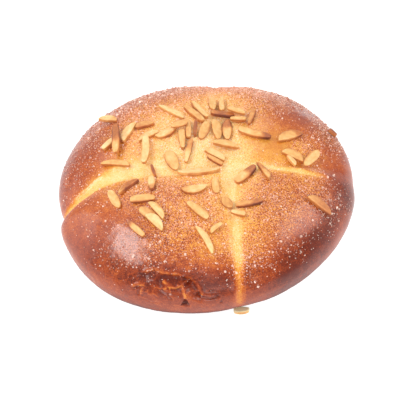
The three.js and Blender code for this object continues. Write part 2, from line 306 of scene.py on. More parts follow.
# Sugar: x, y, reach, how thickly it lies. Where it is bare: x, y, reach, how bare.
SUGAR = (
    (38, -36, 22, 0.75),
    (52, -52, 20, 0.12),
    (60, -22, 14, 0.6),
    (20, -64, 18, 0.6),
    (-14, -38, 24, 1.0),
    (-34, -28, 16, 0.8),
    (-22, -60, 18, 0.6),
    (-46, -60, 14, 0.35),
    (-34, 30, 24, 0.9),
    (-60, 34, 20, 0.32),
    (10, 60, 30, 1.0),
    (-30, 66, 24, 0.8),
    (50, 62, 16, 0.6),
    (78, 34, 12, 0.7),
    (58, 14, 9, 0.9),
    (0, 16, 34, 0.8),
    (-76, -2, 18, 0.12),
    (76, -22, 14, 0.2),
    (-66, -34, 16, 0.12),
    (36, -7, 9, 0.7),
)
BARE = (
    (-50, -58, 14, 0.5),
    (8, -82, 11, 0.8),
    (36, -76, 12, 0.6),
    (57, -53, 13, 0.6),
    (-20, -82, 16, 0.9),
    (40, 14, 17, 1.0),
    (60, 42, 14, 0.7),
    (-82, -40, 16, 0.8),
)
STRAY_SUGAR, SUGAR_SPREAD = 0.015, 1.15
SUGAR_HEIGHTS = (21, 31)
SUGAR_OFF_TEARS = 0.55


def wall_side(place, path):
    """Ragged distance from a wall tear, and how far a point is on its lower side, from 0 to 1."""
    gap, _, side = path_distance(place, path)
    gap = np.maximum(gap + WALL_TEAR_WANDER * noise(place, WALL_TEAR_WAVE, 3), 0)
    return gap, smooth(-side * gap, *LOWER_SIDE)


def crackle(x, y, height):
    """How crackled the wall is at a point, and how near it is to one of the ragged lines there."""
    place = np.stack([x, y, height], -1)
    near = bell(azimuth_gap(x, y, CRACKLE_AZIMUTH), CRACKLE_SPREAD)
    amount = near * bell(height - CRACKLE_HEIGHT, CRACKLE_REACH)
    return amount, bell(noise(place, CRACKLE_WAVE, 3), CRACKLE_LINE)


def notch_depth(place, middle, wide, tall):
    """From 0 outside to 1 inside a notch that narrows upwards."""
    aside = np.hypot(place[..., 0] - middle[0], (place[..., 1] - middle[1]) * 0.5)
    up = (place[..., 2] - middle[2]) / tall
    return smooth(wide * (1 - up) / 2 - aside, -0.5, 0.6) * smooth(1 - np.abs(up), -0.1, 0.3)


def torn(x, y, height):
    """How bare the dough is, from 0 to 1, and the signed distance past the nearest tear's edge."""
    place = np.stack([x, y, height], -1)
    ragged = TEAR_WANDER * noise(place, TEAR_WAVE, 3)
    pale, edge = 0.0, np.full(x.shape, FAR)
    for path, widths, strengths in TEARS:
        gap, share, _ = path_distance(np.stack([x, y], -1), path)
        past = gap + ragged - varied(share, widths)
        pale = np.maximum(pale, varied(share, strengths) * (1 - smooth(past, *TEAR_FADE)))
        edge = np.minimum(edge, past)
    return pale * smooth(height, *TEAR_HEIGHTS), edge


def plain_browning_and_sheen(x, y, height):
    """Browning before the tears, cracks and dark foot, with a paler band of painted floor reflection on
    the wall.
    """
    out = np.hypot(x, y) / rim_radius(np.degrees(np.arctan2(y, x)))
    level = CROWN_BROWN + RIM_BROWN * smooth(out, RIM_BROWN_FROM, RIM_BROWN_TO)
    level = level + WALL_BROWN * smooth(WALL_BROWN_TOP - height, 0, WALL_BROWN_DROP)
    shoulder = SHOULDER_BROWN * bell(azimuth_gap(x, y, SHOULDER_AZIMUTH), SHOULDER_SPREAD)
    level = level + shoulder * bell(height - SHOULDER_HEIGHT, SHOULDER_REACH)
    # a paler band low on the wall is painted reflection of the bright floor
    level = level - FLOOR_SHEEN * bell(height - FLOOR_SHEEN_HEIGHT, FLOOR_SHEEN_REACH)
    front = FRONT_WALL_BROWN * bell(azimuth_gap(x, y, FRONT_WALL_AZIMUTH), FRONT_WALL_SPREAD)
    level = level + front * smooth(FRONT_WALL_TOP - height, 0, FRONT_WALL_DROP)
    for u, v, reach, amount in TOAST:
        level = level + amount * bell(np.hypot(x - u, y - v), reach)
    return level + UNEVEN_BROWN * noise(np.stack([x, y, height], -1), UNEVEN_WAVE, 3)


def browning_and_painted_light(x, y, height):
    """How far the crust is baked at a point, from 0 for raw dough to 1 for almost burnt, with painted
    shade and floor reflection mixed in.
    """
    place = np.stack([x, y, height], -1)
    level = plain_browning_and_sheen(x, y, height)
    pale, _ = torn(x, y, height)
    halo = 0.0
    for path, widths, strengths in TEARS:
        gap, share, _ = path_distance(np.stack([x, y], -1), path)
        halo = np.maximum(halo, varied(share, strengths) * bell(gap, HALO_WIDTH * varied(share, widths)))
    level = level - HALO_PALE * halo * smooth(height, *HALO_HEIGHTS)
    level = level * (1 - pale) + RAW * pale
    fray = np.clip(0.65 + 0.9 * noise(place, FRAY_WAVE, 2), 0, 1)
    for path, _, reach, _, paleness in WALL_TEARS:
        gap, below = wall_side(place, path)
        # the sunk crust below each tear is darkened as painted shade under its ledge
        ledge_shade = TEAR_SHADE * below * (1 - smooth(gap, TEAR_SHADE_FROM * reach, reach))
        level = level + ledge_shade * (1 - pale)
        level = level - FRAY * paleness * fray * bell(gap, FRAY_WIDTH)
    amount, line = crackle(x, y, height)
    broken = np.clip(0.5 + 1.5 * noise(place, CRACKLE_BREAKS, 2), 0, 1)
    blotches = CRACKLE_BROWN * noise(place, CRACKLE_BLOTCH, 3)
    level = level + amount * (blotches - CRACKLE_PALE * line * broken)
    # the notches are darkened inside as painted shade
    for middle, wide, tall, _ in NOTCHES:
        level = level + NOTCH_SHADE * notch_depth(place, middle, wide, tall)
    # the foot is darker: half of it evenly round as a darker bake, half round the front as painted
    # contact shadow
    round_foot = 0.5 + 0.5 * bell(azimuth_gap(x, y, FOOT_SHADOW_AZIMUTH), FOOT_SHADOW_SPREAD)
    dark_foot_and_shadow = smooth(-height, *DARK_FOOT_DEPTHS) * round_foot
    return np.clip(level + DARK_FOOT_AND_SHADOW * dark_foot_and_shadow, 0, 1)


def sugaring(x, y, height):
    """How thickly sugar lies at a point, from 0 to 1."""
    level = STRAY_SUGAR
    for u, v, reach, amount in SUGAR:
        level = np.maximum(level, amount * bell(np.hypot(x - u, y - v), reach * SUGAR_SPREAD))
    for u, v, reach, amount in BARE:
        level = level * (1 - amount * bell(np.hypot(x - u, y - v), reach))
    pale, _ = torn(x, y, height)
    return np.clip(level * (1 - SUGAR_OFF_TEARS * pale) * smooth(height, *SUGAR_HEIGHTS), 0, 1)


# ---------------------------------------------------------------- the crust's fine relief

# Lifts, depths, widths and the sizes of noise are in mm. A pair holds the values between which
# something sets in.
SKIN_LIFT, BROAD_LIFT, BROAD_WAVE, SMALL_LIFT, SMALL_WAVE = 0.25, 0.35, 16.0, 0.10, 3.2
TORN_DEPTH, TORN_EDGE, TORN_HEIGHTS = 0.75, (-0.9, 1.6), (8, 26)
LIP, LIP_OUT, LIP_WIDTH = 0.3, 1.4, 1.3
STRAND_LIFT, STRAND_WAVE, STRAND_ALONG, STRAND_ACROSS = 0.3, 2.6, 0.35, 1.3
OVERHANG_PATH = ((-44, -15), (-56, -17.5), (-66, -20), (-76, -25), (-90, -33))
OVERHANG, OVERHANG_EDGE, OVERHANG_WIDTH = 1.5, (-1.0, 0.9), 11
OVERHANG_START, OVERHANG_HEIGHTS = (0.0, 0.2), (8, 24)
SINK_FROM, FRAY_LIP_WIDTH = 0.3, 0.9
CRACKLE_LIFT, CRACKLE_LUMP, CRACKLE_RIDGE = 0.55, 5.0, 0.3
DRAWN_IN, DRAWN_HEIGHTS, DRAWN_RADII = 0.5, (18, 40), (60, 84)
RELIEF_FOOT = (0, 6)  # heights between which the fine relief sets in above the base


def fine_relief(place):
    """Millimetres to move the plain crust outwards at place."""
    x, y, height = place[..., 0], place[..., 1], place[..., 2]
    pale, edge = torn(x, y, height)
    lift = SKIN_LIFT + BROAD_LIFT * noise(place, BROAD_WAVE, 2)
    lift = lift + SMALL_LIFT * noise(place, SMALL_WAVE, 2)
    # torn crust stands in a low lip round the bared dough, which lies lower and is pulled into strands
    lift = lift - TORN_DEPTH * smooth(-edge, *TORN_EDGE) * smooth(height, *TORN_HEIGHTS)
    lift = lift + LIP * bell(edge - LIP_OUT, LIP_WIDTH) * smooth(height, *TORN_HEIGHTS)
    strands = np.stack([x * STRAND_ALONG, y * STRAND_ACROSS, height], -1)
    lift = lift + STRAND_LIFT * pale * noise(strands, STRAND_WAVE, 2)
    # the front left lobe hangs a little over the left arm
    gap, share, side = path_distance(place[..., :2], OVERHANG_PATH)
    over = OVERHANG * smooth(np.where(side > 0, gap, -gap), *OVERHANG_EDGE) * bell(gap, OVERHANG_WIDTH)
    lift = lift + over * smooth(share, *OVERHANG_START) * smooth(height, *OVERHANG_HEIGHTS)
    # the wall is sunk below each of its tears, whose upper edges stand in frayed lips
    for path, sink, reach, lip, _ in WALL_TEARS:
        gap, below = wall_side(place, path)
        sunk = sink * below * (1 - smooth(gap, SINK_FROM * reach, reach))
        lift = lift - sunk + lip * bell(gap, FRAY_LIP_WIDTH)
    amount, line = crackle(x, y, height)
    lift = lift + amount * (CRACKLE_LIFT * noise(place, CRACKLE_LUMP, 3) + CRACKLE_RIDGE * line)
    for middle, wide, tall, depth in NOTCHES:
        lift = lift - depth * notch_depth(place, middle, wide, tall)
    # the shoulder is drawn in a little
    return lift - DRAWN_IN * smooth(height, *DRAWN_HEIGHTS) * smooth(np.hypot(x, y), *DRAWN_RADII)


# ---------------------------------------------------------------- the crust's mesh

GRID = 305
CROWN_PART = 0.79  # share of the grid's radius that the crown takes, the rest being the foot
CROWN_EASE = 0.95
# Rings of the underside: share of the rim's reach, and whether it has half as many points as the last.
UNDER_RINGS = (
    (0.985, True),
    (0.96, True),
    (0.9, True),
    (0.75, False),
    (0.55, False),
    (0.35, False),
    (0.15, False),
)
UNDER_RISE, UNDER_WAVE, UNDER_SHARES = 0.35, 25.0, (1, 0.8)


def rounded_grid(count):
    """A square grid of count by count points laid over a unit disc: azimuth in degrees and radius."""
    line = np.linspace(-1, 1, count)
    a, b = np.meshgrid(line, line)
    wide = np.abs(a) > np.abs(b)
    radius = np.where(wide, a, b)
    with np.errstate(divide="ignore", invalid="ignore"):
        turn = np.where(wide, b / a * 45, 90 - a / b * 45)
    turn = np.where(np.abs(radius) < TINY, 0, turn)
    turn = np.where(radius < 0, turn + 180, turn)
    return turn % 360, np.abs(radius)


def crust_at(azimuth, radius):
    """Points of the plain crust for grid places, before the fine relief."""
    share = np.sin(np.pi / 2 * np.clip(radius / CROWN_PART, 0, 1)) ** CROWN_EASE
    tuck = np.pi / 2 * np.clip((radius - CROWN_PART) / (1 - CROWN_PART), 0, 1)
    on_crown = (radius <= CROWN_PART)[..., None]
    return np.where(on_crown, crown_point(azimuth, share), foot_point(azimuth, tuck))


def linked(name, data):
    """A new object in the scene."""
    made = bpy.data.objects.new(name, data)
    bpy.context.scene.collection.objects.link(made)
    return made


def give(mesh, name, values):
    """Stores one number for each vertex, which the material reads by that name."""
    layer = mesh.attributes.new(name, "FLOAT", "POINT")
    layer.data.foreach_set("value", np.asarray(values, np.float32).ravel())


plain = crust_at(*rounded_grid(GRID))
normals = np.cross(np.gradient(plain, axis=1), np.gradient(plain, axis=0))
normals /= np.maximum(np.linalg.norm(normals, axis=-1, keepdims=True), TINY)
lift = fine_relief(plain) * smooth(plain[..., 2], *RELIEF_FOOT)
crust = plain + normals * lift[..., None]
crust[..., 2] = np.maximum(crust[..., 2], 0)

index = np.arange(GRID * GRID).reshape(GRID, GRID)
corners = np.stack([index[:-1, :-1], index[:-1, 1:], index[1:, 1:], index[1:, :-1]], -1)
faces = corners.reshape(-1, 4).tolist()
points = crust.reshape(-1, 3)
edge_loop = np.concatenate([index[0, :-1], index[:-1, -1], index[-1, :0:-1], index[:0:-1, 0]])

# the nearly flat underside, which rises a little inside the rim
loop, rim, under_points = edge_loop.tolist(), points[edge_loop], []
total = len(points)
for shrink, halve in UNDER_RINGS:
    rim = rim[::2] if halve else rim
    ring = rim * shrink
    ring[:, 2] = UNDER_RISE * smooth(shrink, *UNDER_SHARES) * (0.5 + 0.5 * noise(ring, UNDER_WAVE, 2))
    count = len(ring)
    inner = list(range(total, total + count))
    for i in range(count):
        j = (i + 1) % count
        if halve:
            a, b, c = loop[2 * i], loop[(2 * i + 1) % len(loop)], loop[(2 * i + 2) % len(loop)]
            faces += [[a, inner[i], b], [b, inner[i], inner[j]], [b, inner[j], c]]
        else:
            faces.append([loop[i], inner[i], inner[j], loop[j]])
    under_points.append(ring)
    total += count
    loop = inner
under_points.append(np.zeros((1, 3)))
faces += [[loop[i], total, loop[(i + 1) % len(loop)]] for i in range(len(loop))]
under_points = np.concatenate(under_points)

# the loaf's middle in the row frame, in millimetres
loaf_low, loaf_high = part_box("loaf")
loaf_middle = np.array([(loaf_low[k] + loaf_high[k]) / 2 / MM for k in range(3)])
flat_plan = plain.reshape(-1, 3)
plain_middle = (flat_plan.min(0) + flat_plan.max(0)) / 2
SHIFT = np.array([loaf_middle[0] - plain_middle[0], loaf_middle[1] - plain_middle[1], 0])

mesh = bpy.data.meshes.new("loaf_crust")
mesh.from_pydata([tuple(p) for p in (np.concatenate([points, under_points]) + SHIFT) * MM], [], faces)
mesh.polygons.foreach_set("use_smooth", [True] * len(mesh.polygons))
mesh.update()
loaf = linked("loaf_crust", mesh)

# ---------------------------------------------------------------- what the crust's material reads

UNDER_BROWN, UNDER_RIM_BROWN, UNDER_RADII = 0.6, 0.32, (40, 72)
DULL_HEIGHT, DULL_REACH, DULL_SHARE = 32, 5.5, 0.97
WALL_GLAZE, WALL_GLAZE_HEIGHTS = 0.6, (8, 20)
CROWN_GLAZE, CROWN_GLAZE_HEIGHTS = 0.4, (30, 40)
PITTED_AT, PITTED_REACH = (-46, -61), 17
MOTTLED_AT, MOTTLED_REACH, MOTTLED_HEIGHTS = (-18, -66), 26, (33, 37)
MOTTLED_LEAST, MOTTLED_MORE = 0.25, 0.6
BASE_BLEND = 4

x, y, height = flat_plan.T
pale, _ = torn(x, y, height)
# a dull band runs below the crown at the front and right
dull = bell(height - DULL_HEIGHT, DULL_REACH)
dull = dull * bell(azimuth_gap(x, y, SHOULDER_AZIMUTH), SHOULDER_SPREAD)
glaze = WALL_GLAZE * smooth(height, *WALL_GLAZE_HEIGHTS)
glaze = glaze + CROWN_GLAZE * smooth(height, *CROWN_GLAZE_HEIGHTS)
pitting = bell(np.hypot(x - PITTED_AT[0], y - PITTED_AT[1]), PITTED_REACH)
mottling = MOTTLED_MORE * bell(np.hypot(x - MOTTLED_AT[0], y - MOTTLED_AT[1]), MOTTLED_REACH)
under_reach = np.hypot(under_points[:, 0], under_points[:, 1])
under_brown = UNDER_BROWN + UNDER_RIM_BROWN * smooth(under_reach, *UNDER_RADII)
for name, on_crust, below in (
    ("baked_and_painted_light", browning_and_painted_light(x, y, height), under_brown),
    ("sugared", sugaring(x, y, height), 0),
    ("bared", pale, 0),
    ("glazed", glaze * (1 - DULL_SHARE * dull), 0),
    ("pitted", pitting, 0),
    ("mottled", MOTTLED_LEAST + mottling * smooth(height, *MOTTLED_HEIGHTS), 0),
    ("under", smooth(BASE_BLEND - height, 0, BASE_BLEND), 1),
):
    give(mesh, name, np.concatenate([on_crust, below + np.zeros(len(under_points))]))
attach(loaf, "root")
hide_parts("loaf")


# ---------------------------------------------------------------- node trees


class Nodes:
    """A short way to write a material's node tree."""

    def __init__(self, name):
        self.material = bpy.data.materials.new(name)
        self.material.use_nodes = True
        self.tree = self.material.node_tree
        self.shader = self.tree.nodes["Principled BSDF"]
        self.place = self.add("ShaderNodeTexCoord").outputs["Object"]

    def add(self, kind, links=None, **settings):
        node = self.tree.nodes.new(kind)
        for key, value in settings.items():
            setattr(node, key, value)
        for key, value in (links or {}).items():
            self.plug(value, node.inputs[key])
        return node

    def plug(self, value, socket):
        if isinstance(value, bpy.types.NodeSocket):
            self.tree.links.new(value, socket)
        else:
            socket.default_value = value

    def math(self, kind, *values, clamp=False):
        node = self.add("ShaderNodeMath", operation=kind, use_clamp=clamp)
        for k, value in enumerate(values):
            self.plug(value, node.inputs[k])
        return node.outputs[0]

    def attribute(self, name):
        return self.add("ShaderNodeAttribute", attribute_name=name).outputs["Fac"]

    def plus(self, first, second, clamp=False):
        return self.math("ADD", first, second, clamp=clamp)

    def times(self, first, second):
        return self.math("MULTIPLY", first, second)

    def noise(self, scale, detail, rough, where=None):
        """Noise at the object's own place, in metres, or at another place."""
        links = {"Vector": where or self.place, "Scale": scale, "Detail": detail, "Roughness": rough}
        return self.add("ShaderNodeTexNoise", links).outputs["Fac"]

    def cells(self, scale):
        links = {"Vector": self.place, "Scale": scale}
        return self.add("ShaderNodeTexVoronoi", links).outputs["Distance"]

    def stretched(self, place, scale):
        return self.add("ShaderNodeMapping", {"Vector": place, "Scale": scale}).outputs["Vector"]

    def span(self, value, low, high, to_low=0.0, to_high=1.0):
        """The value moved from the range low to high into another, and kept within it."""
        links = {"Value": value, "From Min": low, "From Max": high, "To Min": to_low, "To Max": to_high}
        return self.add("ShaderNodeMapRange", links).outputs[0]

    def sway(self, value, half, amount):
        """Noise that is half above or below its middle, turned into plus or minus amount."""
        return self.span(value, 0.5 - half, 0.5 + half, -amount, amount)

    def ramp(self, value, *stops):
        node = self.add("ShaderNodeValToRGB", {"Fac": value})
        bands = node.color_ramp.elements
        while len(bands) < len(stops):
            bands.new(0.5)
        for band, (at, colour) in zip(bands, stops):
            band.position = at
            band.color = linear(colour)
        return node.outputs["Color"]

    def mix(self, share, first, second):
        node = self.add("ShaderNodeMix", data_type="RGBA")
        for socket, value in (("Factor_Float", share), ("A_Color", first), ("B_Color", second)):
            self.plug(value, next(s for s in node.inputs if s.identifier == socket))
        return next(s for s in node.outputs if s.identifier == "Result_Color")

    def bump(self, height, distance, strength):
        links = {"Height": height, "Distance": distance, "Strength": strength}
        return self.add("ShaderNodeBump", links).outputs["Normal"]

    def finish(self, **values):
        for key, value in values.items():
            self.plug(value, self.shader.inputs[key.replace("_", " ")])
        return self.material


def linear(colour):
    """Scene-linear RGBA of an sRGB colour in 0 to 255."""
    shares = (c / 255 for c in colour)
    return tuple(c / 12.92 if c <= 0.04045 else ((c + 0.055) / 1.055) ** 2.4 for c in shares) + (1.0,)


# ---------------------------------------------------------------- the crust's material

# Colours of the crust from raw dough to almost burnt.
CRUST_RAMP = (
    (0.0, (255, 228, 172)),
    (0.16, (251, 207, 132)),
    (0.32, (245, 186, 86)),
    (0.48, (228, 150, 60)),
    (0.64, (205, 107, 40)),
    (0.80, (166, 66, 22)),
    (1.0, (100, 28, 8)),
)
SUGAR_DUST, FLOUR = (253, 208, 158), (228, 184, 134)
# Noise: blobs to the metre, detail, roughness.
PATCH_NOISE, MOTTLE_NOISE, FLECK_NOISE = (260, 4, 0.6), (110, 5, 0.6), (1300, 3, 0.65)
DUST_NOISE, FLOUR_NOISE = (1700, 2, 0.5), (90, 5, 0.6)
SKIN_NOISE, STRAND_NOISE, POCK_NOISE = (900, 4, 0.65), (700, 4, 0.6), (520, 3, 0.6)
PIT_CELLS = 420
# How far the noise is from its middle at most, and how much browner or paler that makes the crust.
PATCH_SWAY, MOTTLE_SWAY, FLECK_SWAY = (0.15, 0.13), (0.25, 0.06), (0.12, 0.26)
# Ranges: of the noise, or of what the mesh says, and of what comes of it.
DUST_RANGE, FLOUR_RANGE = (0.55, 0.66), (0.42, 0.68, 0.0, 0.4)
POCK_RANGE, PIT_RANGE = (0.38, 0.5), (0.0, 0.35)
SUGARED_FLECK, SUGARED_DUST = (0, 0.5, 0.25, 1.0), (0.05, 0.8, 0.0, 0.5)
SUGARED_SKIN, SUGARED_ROUGH = (0, 1, 0.35, 1.0), (0, 1, 0.36, 0.55)
SUGARED_COAT, BARED_COAT, GLAZED_ROUGH = (0.05, 0.8, 1.0, 0.35), (0, 1, 1.0, 0.35), (0, 1, 0.2, 0.0)
STRAND_STRETCH = (0.4, 1.0, 1.0)
PIT_RELIEF, STRAND_RELIEF, POCK_RELIEF = 0.35, 0.9, 1.6
BARED_ROUGH, UNDER_ROUGH = 0.16, 0.35
CRUST_BUMP, CRUST_BUMP_SHARE = 0.0004, 0.55


def crust_material():
    n = Nodes("baked_crust")
    baked_and_painted_light, sugared, bared, under = (n.attribute(a) for a in ("baked_and_painted_light", "sugared", "bared", "under"))
    glazed, mottled, pitted = (n.attribute(a) for a in ("glazed", "mottled", "pitted"))

    # colour: the browning with its painted shade and floor reflection, made uneven, with sugar dust on
    # top and flour on the underside
    patches = n.times(n.sway(n.noise(*PATCH_NOISE), *PATCH_SWAY), mottled)
    mottle = n.plus(n.sway(n.noise(*MOTTLE_NOISE), *MOTTLE_SWAY), patches)
    fleck = n.times(n.sway(n.noise(*FLECK_NOISE), *FLECK_SWAY), n.span(sugared, *SUGARED_FLECK))
    colour = n.ramp(n.plus(n.plus(baked_and_painted_light, mottle), fleck), *CRUST_RAMP)
    dust = n.times(n.span(n.noise(*DUST_NOISE), *DUST_RANGE), n.span(sugared, *SUGARED_DUST))
    colour = n.mix(dust, colour, linear(SUGAR_DUST))
    flour = n.times(under, n.span(n.noise(*FLOUR_NOISE), *FLOUR_RANGE))
    colour = n.mix(flour, colour, linear(FLOUR))

    # relief too fine for the mesh: pits and grain, strands where dough is bared, pocks on one lobe
    pits = n.times(n.span(n.cells(PIT_CELLS), *PIT_RANGE), PIT_RELIEF)
    skin = n.times(n.noise(*SKIN_NOISE), n.span(sugared, *SUGARED_SKIN))
    drawn_out = n.stretched(n.place, STRAND_STRETCH)
    strands = n.times(n.noise(*STRAND_NOISE, drawn_out), n.times(bared, STRAND_RELIEF))
    pocks = n.times(n.span(n.noise(*POCK_NOISE), *POCK_RANGE), n.times(pitted, POCK_RELIEF))
    relief = n.plus(n.plus(n.plus(pits, skin), strands), pocks)

    # a glaze over the baked crust, duller where it is sugared, bare or unglazed
    rough = n.plus(n.span(sugared, *SUGARED_ROUGH), n.times(bared, BARED_ROUGH))
    rough = n.plus(rough, n.span(glazed, *GLAZED_ROUGH))
    rough = n.plus(rough, n.times(under, UNDER_ROUGH), clamp=True)
    coat = n.times(n.span(sugared, *SUGARED_COAT), n.span(bared, *BARED_COAT))
    return n.finish(
        Base_Color=colour,
        Roughness=rough,
        Normal=n.bump(relief, CRUST_BUMP, CRUST_BUMP_SHARE),
        Coat_Weight=n.times(coat, glazed),
        Coat_Roughness=0.18,
        Coat_IOR=1.62,
        Specular_IOR_Level=0.2,
        Subsurface_Weight=0.12,
        Subsurface_Radius=(1.0, 0.45, 0.2),
        Subsurface_Scale=0.004,
    )


mesh.materials.append(crust_material())

# ---------------------------------------------------------------- almond slivers

# Roast of each sliver that isn't plain, from 0 for blanched to 1 for dark brown.
ROAST = {
    1: 0.3, 2: 0.25, 3: 0.3, 4: 0.3, 5: 0.42, 8: 0.35, 14: 0.52, 15: 0.25, 19: 0.45, 21: 0.3,
    25: 0.4, 26: 0.45, 27: 0.25, 28: 0.34, 31: 0.38, 33: 0.5, 34: 0.25, 36: 0.36, 37: 0.32,
    38: 0.34, 39: 0.4, 41: 0.35, 42: 0.36, 44: 0.42, 46: 0.4, 47: 0.6, 49: 0.42, 50: 0.3,
    51: 0.4, 54: 0.25,
}
# Ends that are toasted darker: where the end points in plan, how dark, how far along the sliver.
ENDS = {
    1: ((1, 0), 0.35, 0.35),
    3: ((0, 1), 0.55, 0.6),
    14: ((1, 0), 0.2, 0.9),
    15: ((1, 1), 0.55, 0.45),
    21: ((0, 1), 0.4, 0.5),
    27: ((1, 0), 0.7, 0.28),
    28: ((1, 1), 0.5, 0.3),
    34: ((0, -1), 0.6, 0.3),
    36: ((-1, 0), 0.25, 0.3),
    39: ((1, 0), 0.4, 0.4),
    41: ((1, 1), 0.65, 0.45),
    42: ((-1, 1), 0.4, 0.5),
    46: ((1, -1), 0.2, 0.5),
    49: ((1, 0), 0.45, 0.8),
    54: ((-1, 1), 0.6, 0.2),
}
# The fallen sliver is made paler than blanched: painted light lifting it out of the loaf's shadow.
PLAIN_ROAST, FALLEN_PAINTED_LIGHT_ROAST = 0.29, -0.3
ROAST_STRAY, ROAST_RAISE = (-0.07, 0.09), 0.05

SLIVER_VOXEL = 0.34 * MM
SEED_RANGE = 40  # each sliver reads the noise at a place of its own
# Relief: lift in mm, stretch of the noise along, across and through the sliver, its size.
LONG_WAVES, LONG_STRETCH, LONG_SIZE = 0.24, (0.5, 1, 1), 3.0
FINE_WAVES, FINE_STRETCH, FINE_SIZE = 0.06, (0.35, 1.4, 1.4), 1.0
BOW, NARROWING = 0.05, 0.2
# Toasting of the sides, with painted shade on them too, of the outline seen from above and of one long
# edge, and painted shade on the underside.
SIDE_TOAST_AND_SHADE, OUTLINE_TOAST, EDGE_TOAST, UNDERSIDE_SHADE = 0.24, 0.08, 0.16, 0.12
SIDE_FADE, OUTLINE_FADE, EDGE_FADE, UNDERSIDE_SHADE_FADE = (0.2, 0.8), (0.45, 1.0), (0.35, 1.0), (-0.3, 0.6)
DARKEST = 1.1
BLOTCH, BLOTCH_SIZE = 0.10, 2.6
END_TOAST, END_FADE, END_RAGGED, END_SIZE = 0.55, (-0.25, 0.35), 0.12, 1.5
GRAIN_NOISE, GRAIN_STRETCH, GRAIN_SWAY = (1.3, 4, 0.6), (0.18, 1.6, 1.6), (0.2, 0.05)
SPOT_NOISE, SPOT_SWAY = (0.45, 4, 0.6), (0.2, 0.07)
GRAIN_ROUGH = (0.3, 0.7, 0.42, 0.58)
GRAIN_BUMP, GRAIN_BUMP_SHARE = 0.0003, 0.35
ALMOND_RAMP = (
    (0.0, (255, 238, 196)),
    (0.2, (252, 217, 158)),
    (0.42, (235, 178, 106)),
    (0.62, (206, 126, 64)),
    (0.8, (162, 88, 52)),
    (1.0, (112, 58, 44)),
)


def own_axes(points):
    """The long, broad and thin directions of a cloud of points, with its middle."""
    middle = (points.min(0) + points.max(0)) / 2
    _, _, axes = np.linalg.svd(points - points.mean(0), full_matrices=False)
    if axes[2][2] < 0:
        axes[2] = -axes[2]
    return middle, axes


def sliver_piece(node, name, roast, end):
    """The CAD's sliver with eased edges, uneven faces and its own toasting, with painted shade on its
    sides and underside.
    """
    draft = linked(name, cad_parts[node].data.copy())
    shell = draft.modifiers.new("shell", "REMESH")
    shell.mode = "VOXEL"
    shell.voxel_size = SLIVER_VOXEL
    ease = draft.modifiers.new("ease", "SMOOTH")
    ease.factor = 0.5
    ease.iterations = 1
    graph = bpy.context.evaluated_depsgraph_get()
    mesh = bpy.data.meshes.new_from_object(draft.evaluated_get(graph))
    mesh.name = name
    count = len(mesh.vertices)
    place, facing = np.zeros(count * 3), np.zeros(count * 3)
    mesh.vertices.foreach_get("co", place)
    mesh.vertices.foreach_get("normal", facing)
    place, facing = place.reshape(-1, 3) / MM, facing.reshape(-1, 3)
    middle, axes = own_axes(place)
    local = (place - middle) @ axes.T
    half = np.abs(local).max(0)
    seed = np.array([rng.uniform(0, SEED_RANGE) for _ in range(3)])
    waves = LONG_WAVES * noise(local * LONG_STRETCH + seed, LONG_SIZE, 2)
    waves = waves + FINE_WAVES * noise(local * FINE_STRETCH + seed, FINE_SIZE)
    bow = rng.uniform(-BOW, BOW) * half[0] * (1 - (local[:, 0] / half[0]) ** 2)
    narrowing = -rng.uniform(0, NARROWING) * local[:, 1] * np.sign(rng.uniform(-1, 1))
    narrowing = narrowing * local[:, 0] / half[0]
    place = place + facing * waves[:, None] + (bow + narrowing)[:, None] * axes[1]
    place[:, 2] = np.maximum(place[:, 2], 0)

    roast = roast + rng.uniform(*ROAST_STRAY) + ROAST_RAISE
    # the sides are toasted and also darkened as painted shade; faces turned down are darkened as painted
    # shade only
    sides = smooth(1 - np.abs(facing @ axes[2]), *SIDE_FADE)
    outline = smooth(np.abs(local[:, 1]) / half[1], *OUTLINE_FADE)
    long_edge = smooth(local[:, 1] / half[1] * rng.choice((-1, 1)), *EDGE_FADE)
    below = smooth(-facing[:, 2], *UNDERSIDE_SHADE_FADE)
    toast_and_shade = SIDE_TOAST_AND_SHADE * sides + OUTLINE_TOAST * outline + EDGE_TOAST * long_edge + UNDERSIDE_SHADE * below
    blotches = BLOTCH * noise(local * LONG_STRETCH + seed, BLOTCH_SIZE, 2)
    tone = roast + (DARKEST - roast) * toast_and_shade + blotches
    if end:
        (east, north), dark, reach = end
        along = local[:, 0] / half[0] * np.sign(axes[0][0] * east + axes[0][1] * north)
        ragged = along + END_RAGGED * noise(local + seed, END_SIZE, 2)
        edge = 1 - 2 * reach
        tone = tone + END_TOAST * dark * smooth(ragged, edge + END_FADE[0], edge + END_FADE[1])

    mesh.vertices.foreach_set("co", (place * MM).ravel())
    mesh.polygons.foreach_set("use_smooth", [True] * len(mesh.polygons))
    mesh.update()
    draft.modifiers.clear()
    draft.data = mesh
    # the roast attribute also carries the painted shade of the sides and underside
    give(mesh, "roast", np.clip(tone, 0, 1))
    for k, direction in enumerate(("along", "across", "through")):
        give(mesh, direction, local[:, k] + seed[k])
    mesh.materials.clear()
    mesh.materials.append(almond)
    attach(draft, "root")
    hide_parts(node)


